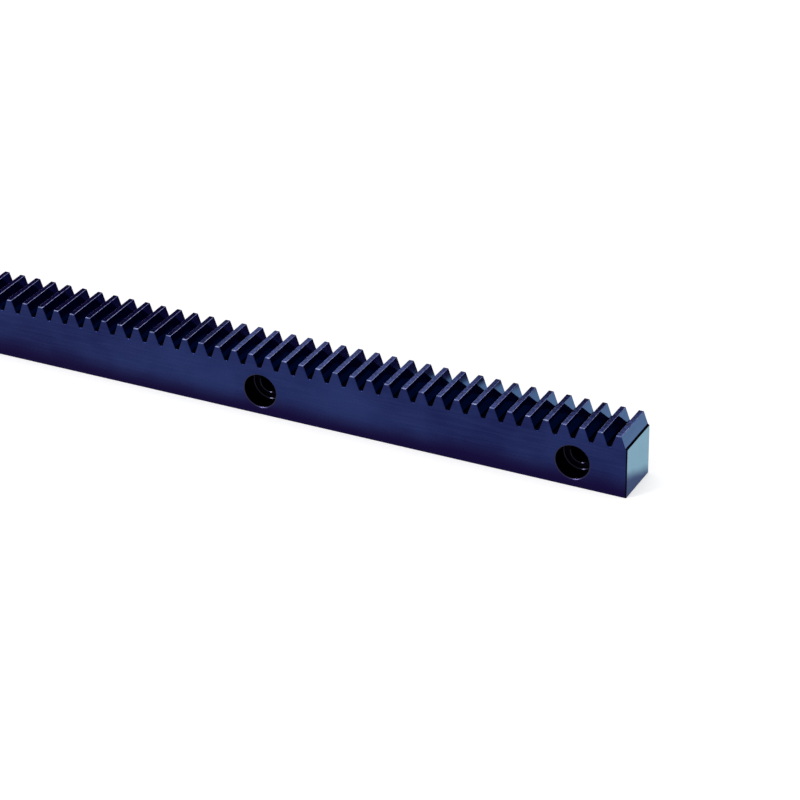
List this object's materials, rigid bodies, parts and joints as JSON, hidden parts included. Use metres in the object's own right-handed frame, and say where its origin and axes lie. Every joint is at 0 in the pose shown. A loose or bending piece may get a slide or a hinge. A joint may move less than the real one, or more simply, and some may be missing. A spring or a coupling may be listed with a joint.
{
  "type": "gear rack",
  "caption": "Straight toothed steel bar with counterbored screw holes that turns a pinion's rotation into linear travel.",
  "frame": {"origin": "centre of the bottom face, halfway along the bar", "axes": "+X along the bar, +Z from the bottom face to the tooth tips, -Y out of the front face with the counterbores"},
  "size_m": [0.2998, 0.015, 0.0175],
  "materials": {
    "blued_steel": "blued carbon steel, semi-gloss and lightly oiled, over a fine machined surface"
  },
  "bodies": {
    "root": {"rack_bar": "blued_steel"}
  },
  "joints": []
}
